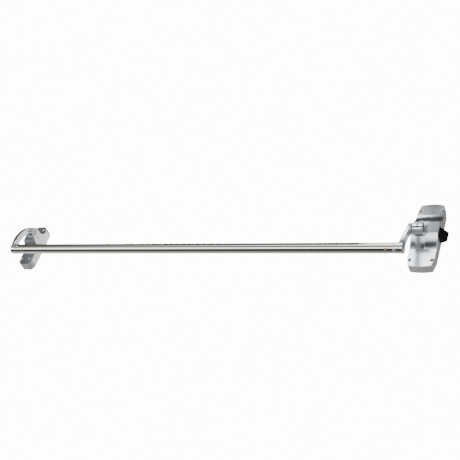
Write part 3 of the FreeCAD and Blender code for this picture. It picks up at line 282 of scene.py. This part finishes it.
# %% Give each node its finish
FINISHES = [
    (cast_aluminium, ["latch_case_cover", "hinge_case_cover"]),
    (arm_metal, ["latch_arm", "hinge_arm"]),
    (satin_stainless, ["crossbar_tube"]),
    (bolt_black, ["latch_bolt"]),
    (zinc_plate, ["latch_base_plate", "hinge_base_plate", "bolt_guide", "rod_bracket",
                  "retractor_slide", "lifting_lever", "trim_hub", "dogging_cam",
                  "latch_plate_screws", "hinge_plate_screws", "retractor_studs"]),
    (yellow_zinc, ["bar_set_screws"]),
    (ground_shaft, ["latch_cross_shaft", "hinge_cross_shaft", "arm_drive_pins",
                    "bolt_guide_rod", "bolt_follower_pin", "hinge_shaft_clip"]),
    (sintered_bronze, ["latch_bush_inner", "latch_bush_outer", "hinge_bush"]),
    (spring_wire, ["bolt_spring", "latch_return_spring"]),
]
for material, names in FINISHES:
    for name in names:
        mesh = nodes[name].data
        mesh.materials.clear()
        mesh.materials.append(material)
print("finished nodes:", sum(len(names) for material, names in FINISHES), "of", len(nodes))

# %% [markdown]
# Turned pieces.  A ring or a cap made on a lathe is a profile carried round an axis, so its mesh
# is a grid: one parameter runs along the profile and the other round the axis.  The whole grid
# is one array, and a closed profile gives a closed ring with no seam.

# %% A surface turned about an axis along X
ROUND_STEPS = 96


def turned_piece(name, profile, centre, body, material, closed=True):
    """Ring about an X axis: the point at profile (x, r) and angle a is (x, r cos a, r sin a)."""
    profile = np.asarray(profile, float)
    angles = np.linspace(0, 2 * math.pi, ROUND_STEPS, endpoint=False)
    along = np.repeat(profile[:, 0][:, None], ROUND_STEPS, axis=1)
    across = profile[:, 1][:, None] * np.cos(angles)
    up = profile[:, 1][:, None] * np.sin(angles)
    points = np.stack([along, across + centre[0], up + centre[1]], axis=2).reshape(-1, 3)
    rows = len(profile)
    row = np.arange(rows if closed else rows - 1)[:, None]
    column = np.arange(ROUND_STEPS)[None, :]
    after = (row + 1) % rows
    beside = (column + 1) % ROUND_STEPS
    quads = np.stack([row * ROUND_STEPS + column, row * ROUND_STEPS + beside,
                      after * ROUND_STEPS + beside, after * ROUND_STEPS + column], axis=2)
    mesh = bpy.data.meshes.new(name)
    mesh.from_pydata(points.tolist(), [], quads.reshape(-1, 4).tolist())
    mesh.materials.append(material)
    mesh.polygons.foreach_set("use_smooth", np.ones(len(mesh.polygons), bool))
    mesh.update()
    piece = bpy.data.objects.new(name, mesh)
    bpy.context.scene.collection.objects.link(piece)
    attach(piece, body)
    print(name, len(mesh.polygons), "faces")
    return piece


# %% [markdown]
# Collars.  Where the tube meets each arm's eye the real bar has a short turned collar with fine
# grooves.  Its outside is a row of small round beads, the root of a sine in the profile, standing
# a fraction of a millimetre over the tube, and its inside is sunk in the tube's wall.

# %% Grooved collars at the bar's ends
tube_low, tube_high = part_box("crossbar_tube")
bar_axis = ((tube_low.y + tube_high.y) / 2, (tube_low.z + tube_high.z) / 2)
bar_radius = (tube_high.z - tube_low.z) / 2
COLLAR_WIDTH = 7.5 * MM
COLLAR_RISE = 0.2 * MM
BEADS = 4
COLLAR_EDGE_SINK = 0.3 * MM
COLLAR_INNER_SINK = 1.0 * MM


def collar_profile(start, width):
    """Outside: radius + rise * sqrt(|sin|) over the beads, then back along a line in the wall."""
    steps = np.linspace(0, 1, 49)
    outer_x = start + steps * width
    outer_r = bar_radius + COLLAR_RISE * np.sqrt(np.abs(np.sin(steps * BEADS * math.pi)))
    outer_r[[0, -1]] = bar_radius - COLLAR_EDGE_SINK
    inner_r = bar_radius - COLLAR_INNER_SINK
    inner = [(start + width, inner_r), (start, inner_r)]
    return list(zip(outer_x, outer_r)) + inner


turned_piece("latch_end_collar", collar_profile(tube_high.x - COLLAR_WIDTH, COLLAR_WIDTH),
             bar_axis, "push_bar", satin_stainless)
turned_piece("hinge_end_collar", collar_profile(tube_low.x, COLLAR_WIDTH),
             bar_axis, "push_bar", satin_stainless)

# %% [markdown]
# Slotted caps.  Each arm's shaft ends in a round face with a screwdriver slot, seen at the side
# of each case.  A slotted disc is two D-shaped halves.  A half is the surface between the slot's
# straight edge and the rim, as two parameters: how far along the slot, and how far from the
# slot's edge to the rim.  A thin black strip between the halves is painted shade: it colours the
# slot's floor dark where the slot's depth would shade it.

# %% Slotted shaft caps
pivot_low, pivot_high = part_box("latch_cross_shaft")
pivot_axis = ((pivot_low.y + pivot_high.y) / 2, (pivot_low.z + pivot_high.z) / 2)
SLOT_HALF = 1.2 * MM
SLOT_TURN = math.radians(55)
# Painted shade of the slot: the black strip's thickness and the share of the slot's length it
# covers.
SHADE_STRIP_HEIGHT = 0.15 * MM
SHADE_STRIP_SHARE = 0.98
RIM_WIDTH = 0.5 * MM
RIM_DROP = 0.35 * MM


def half_disc(radius, side, low_x, high_x):
    """Closed half of a slotted disc: across = s + u (sqrt(R^2 - v^2) - s), along = v.

    u runs 0..1 from the slot's edge to the rim, v from end to end of the slot; the top rim is
    drawn in by a small rounding so that its edge catches the light."""
    reach = math.sqrt(radius**2 - SLOT_HALF**2)
    v = np.sin(np.linspace(-math.pi / 2, math.pi / 2, 41))[:, None] * reach
    u = np.sin(np.linspace(0, math.pi / 2, 9))[None, :]
    rim = np.sqrt(np.maximum(radius**2 - v**2, SLOT_HALF**2))
    across = (SLOT_HALF + u * (rim - SLOT_HALF)) * side
    along = v + 0 * u
    distance = np.hypot(across, along)
    fall = np.clip((distance - radius + RIM_WIDTH) / RIM_WIDTH, 0, 1) ** 2 * RIM_DROP
    top = np.stack([high_x - fall, across, along], axis=2).reshape(-1, 3)
    base = np.stack([np.full_like(across, low_x), across, along], axis=2).reshape(-1, 3)
    rows, columns = across.shape
    index = np.arange(rows * columns).reshape(rows, columns)
    cells = np.stack([index[:-1, :-1], index[1:, :-1], index[1:, 1:], index[:-1, 1:]], axis=2)
    cells = cells.reshape(-1, 4)
    edge = np.concatenate([index[:, 0], index[-1, 1:], index[::-1, -1][1:], index[0, ::-1][1:-1]])
    after = np.roll(edge, -1)
    count = rows * columns
    walls = np.stack([edge, after, after + count, edge + count], axis=1)
    faces = np.concatenate([cells, cells[:, ::-1] + count, walls[:, ::-1]])
    return np.concatenate([top, base]), faces


def slotted_cap(name, start_x, radius, height):
    """Two half discs over a thin black strip of painted shade, turned together about the shaft's
    axis.
    """
    points = []
    faces = []
    shells = [half_disc(radius, side, start_x, start_x + height) for side in (1, -1)]
    for shell_points, shell_quads in shells:
        faces.append(shell_quads + sum(len(done) for done in points))
        points.append(shell_points)
    points = np.concatenate(points)
    shell_count = sum(len(done) for done in faces)
    reach = math.sqrt(radius**2 - SLOT_HALF**2)
    # A thin black box across the slot's floor: painted shade that stands for the slot's depth.
    corners = np.array([(x, y, z) for x in (0, SHADE_STRIP_HEIGHT) for y in (-1, 1) for z in (-1, 1)])
    painted_shade_strip = corners * (1, SLOT_HALF, SHADE_STRIP_SHARE * reach) + (start_x, 0, 0)
    shade_strip_box = np.array([(0, 1, 3, 2), (4, 6, 7, 5), (0, 4, 5, 1), (2, 3, 7, 6), (0, 2, 6, 4),
                    (1, 5, 7, 3)])
    faces.append(shade_strip_box + len(points))
    points = np.concatenate([points, painted_shade_strip])
    cos, sin = math.cos(SLOT_TURN), math.sin(SLOT_TURN)
    y = points[:, 1] * cos - points[:, 2] * sin + pivot_axis[0]
    z = points[:, 1] * sin + points[:, 2] * cos + pivot_axis[1]
    placed = np.stack([points[:, 0], y, z], axis=1)
    mesh = bpy.data.meshes.new(name)
    mesh.from_pydata(placed.tolist(), [], np.concatenate(faces).tolist())
    mesh.materials.append(ground_shaft)
    # The strip takes the bolt's black oxide as painted shade of the slot's floor.
    mesh.materials.append(bolt_black)
    is_painted_shade_strip = np.arange(len(mesh.polygons)) >= shell_count
    mesh.polygons.foreach_set("material_index", is_painted_shade_strip.astype(np.int32))
    mesh.validate()
    work = bmesh.new()
    work.from_mesh(mesh)
    bmesh.ops.recalc_face_normals(work, faces=work.faces)
    work.to_mesh(mesh)
    work.free()
    piece = bpy.data.objects.new(name, mesh)
    bpy.context.scene.collection.objects.link(piece)
    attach(piece, "push_bar")
    print(name, len(mesh.polygons), "faces")


CAP_RADIUS = 8.6 * MM
CAP_HEIGHT = 1.2 * MM
CAP_GAP = 0.05 * MM
for name, place_x in (("latch_shaft_cap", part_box("latch_bush_outer")[1].x),
                      ("hinge_shaft_cap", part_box("hinge_case_cover")[1].x)):
    slotted_cap(name, place_x + CAP_GAP, CAP_RADIUS, CAP_HEIGHT)

# %% [markdown]
# The stage.  The device is seen from below and to the right, as if held up over a table, so the
# pale floor lies far under it and never comes between it and the camera.  The room around is
# white to the eye.  What the metal mirrors is another matter: polished tube shows a studio's
# bright panels and the dark gaps between them as long stripes, so the world's light is built
# in bands round the bar's axis.  This is not an even room.  One list of levels serves the bar's
# far end and another its near end, both set to suit the main camera, and other views see the
# same bands without any setting of their own.

# %% World light in bands
world = bpy.data.worlds.new("studio")
bpy.context.scene.world = world
world.use_nodes = True
sky = world.node_tree
sky.nodes.clear()
direction = add_node(sky, "ShaderNodeTexCoord", {}, {})
split = add_node(sky, "ShaderNodeSeparateXYZ", {}, {0: direction.outputs["Generated"]})
towards = add_node(sky, "ShaderNodeMath", {"operation": "MULTIPLY", 1: -1.0},
                   {0: split.outputs["Y"]})
angle = add_node(sky, "ShaderNodeMath", {"operation": "ARCTAN2"},
                 {0: split.outputs["Z"], 1: towards.outputs[0]})
turn = add_node(sky, "ShaderNodeMapRange", {"From Min": -math.pi, "From Max": math.pi},
                {"Value": angle.outputs[0]})
# Degrees from straight out of the door, up positive, and the light level there.
PEAK = 6.0
WHITE_LEVEL = 14.0
FAR_DIRECTION = -0.60
NEAR_DIRECTION = -0.27
FAR_ROOM = [(-180, 1.2), (-129, 1.1), (-104, 0.4), (-84, 0.04), (-68, 0.04), (-52, 0.35),
            (-36, 6.0), (-22, 4.2), (-8, 0.3), (8, 0.16), (22, 0.2), (34, 0.12), (50, 0.1),
            (66, 0.2), (90, 0.22), (112, 0.12), (145, 0.6), (180, 1.2)]
NEAR_ROOM = [(-180, 1.0), (-138, 0.6), (-111, 0.25), (-90, 0.05), (-66, 0.02), (-54, 0.2),
             (-42, 3.8), (-25, 3.0), (-12, 0.06), (-3, 0.05), (9, 0.12), (16, 1.6), (22, 6.0),
             (30, 4.0), (35, 0.12), (43, 0.07), (48, 0.2), (54, 0.5), (60, 0.4), (70, 0.05),
             (112, 0.04), (140, 0.4), (180, 1.0)]


def room_bands(levels):
    """Colour ramp of one side of the room: each level as a slightly cool grey."""
    ramp = add_node(sky, "ShaderNodeValToRGB", {}, {0: turn.outputs[0]})
    while len(ramp.color_ramp.elements) < len(levels):
        ramp.color_ramp.elements.new(0.5)
    for element, (degrees, level) in zip(ramp.color_ramp.elements, levels):
        grey = level / PEAK
        element.position = (degrees + 180) / 360
        element.color = (grey * 0.97, grey * 0.99, grey, 1.0)
    return ramp


far_bands = room_bands(FAR_ROOM)
near_bands = room_bands(NEAR_ROOM)
side = add_node(sky, "ShaderNodeMapRange", {"From Min": FAR_DIRECTION, "From Max": NEAR_DIRECTION},
                {"Value": split.outputs["X"]})
bands = add_node(sky, "ShaderNodeMix", {"data_type": "RGBA"},
                 {0: side.outputs[0], 6: far_bands.outputs[0], 7: near_bands.outputs[0]})
light = add_node(sky, "ShaderNodeBackground", {"Strength": PEAK}, {"Color": bands.outputs[2]})
white = add_node(sky, "ShaderNodeBackground",
                 {"Color": linear("#FFFFFF"), "Strength": WHITE_LEVEL}, {})
ray = add_node(sky, "ShaderNodeLightPath", {}, {})
seen = add_node(sky, "ShaderNodeMixShader", {},
                {0: ray.outputs["Is Camera Ray"], 1: light.outputs[0], 2: white.outputs[0]})
add_node(sky, "ShaderNodeOutputWorld", {}, {"Surface": seen.outputs[0]})

# %% Pale floor
FLOOR_Z = -3.2
FLOOR_HALF = 9.0
floor_mesh = bpy.data.meshes.new("floor")
floor_mesh.from_pydata([(-FLOOR_HALF, -FLOOR_HALF, FLOOR_Z), (FLOOR_HALF, -FLOOR_HALF, FLOOR_Z),
                        (FLOOR_HALF, FLOOR_HALF, FLOOR_Z), (-FLOOR_HALF, FLOOR_HALF, FLOOR_Z)],
                       [], [(0, 1, 2, 3)])
floor = bpy.data.objects.new("floor", floor_mesh)
bpy.context.scene.collection.objects.link(floor)
floor_paint, paint_tree, place = start_material("pale_floor_paint")
speck = add_node(paint_tree, "ShaderNodeTexNoise", {"Scale": 3.0, "Detail": 3.0},
                 {"Vector": place})
paint_tint = add_node(paint_tree, "ShaderNodeValToRGB", {}, {0: speck.outputs[0]})
set_ramp(paint_tint.color_ramp, [(0.3, "#F2F2F0"), (0.7, "#F7F7F5")])
paint = add_node(paint_tree, "ShaderNodeBsdfPrincipled", {"Roughness": 0.8},
                 {"Base Color": paint_tint.outputs[0]})
finish_material(paint_tree, paint)
floor_mesh.materials.append(floor_paint)
floor.visible_glossy = False

# %% [markdown]
# Lights.  Two large soft panels give the sandy walls their shade: one far out on the right and
# one from below.  Three small panels each lift one part: the latch arm's outer edge, the sides
# of the hinge-side case and its arm from behind, and the lower half of the latch case's front.

# %% Panel lights
AIM = Vector((-0.420, -0.176, -0.108))


def panel_light(name, place, target, width, height, watts):
    """A rectangular soft light at a place, turned towards a target."""
    lamp = bpy.data.lights.new(name, "AREA")
    lamp.shape = "RECTANGLE"
    lamp.size = width
    lamp.size_y = height
    lamp.energy = watts
    holder = bpy.data.objects.new(name, lamp)
    bpy.context.scene.collection.objects.link(holder)
    holder.location = place
    holder.rotation_mode = "QUATERNION"
    holder.rotation_quaternion = (Vector(target) - Vector(place)).to_track_quat("-Z", "Y")
    holder.visible_camera = False
    return holder


panel_light("right_panel", (1.6, -0.6, -0.2), AIM, 1.0, 1.0, 7)
panel_light("lower_panel", (0.2, -0.5, -1.7), AIM, 1.6, 0.6, 6)
panel_light("arm_panel", (-0.125, -0.145, 0.28), (-0.026, -0.085, -0.05), 0.10, 0.08, 0.14)
panel_light("hinge_panel", (-0.90, 0.30, 0.24), (-1.09, -0.03, -0.02), 0.18, 0.18, 0.9)
panel_light("case_panel", (-0.11, -0.318, 0.173), (0, -0.024, -0.075), 0.24, 0.12, 0.55)

# %% [markdown]
# Camera.  A long lens from about 2.6 m: 33 degrees to the right of straight on, 36 degrees below
# the device, and rolled by 20 degrees so that the bar runs nearly level across the picture.

# %% Camera
DISTANCE = 2.605
AZIMUTH = math.radians(32.6)
ELEVATION = math.radians(-35.7)
ROLL = math.radians(19.85)
LENS_MM = 86.55
SENSOR_MM = 36
look = Vector((-math.sin(AZIMUTH) * math.cos(ELEVATION),
               math.cos(AZIMUTH) * math.cos(ELEVATION), -math.sin(ELEVATION)))
level_right = look.cross(Vector((0, 0, 1))).normalized()
level_up = level_right.cross(look)
right = level_right * math.cos(ROLL) + level_up * math.sin(ROLL)
up = right.cross(look)
lens = bpy.data.cameras.new("camera")
lens.lens = LENS_MM
lens.sensor_width = SENSOR_MM
lens.clip_end = 50
camera = bpy.data.objects.new("camera", lens)
bpy.context.scene.collection.objects.link(camera)
turned = Matrix((right, up, -look)).transposed()
camera.matrix_world = Matrix.Translation(AIM - look * DISTANCE) @ turned.to_4x4()
bpy.context.scene.camera = camera
print("camera at", camera.matrix_world.translation)
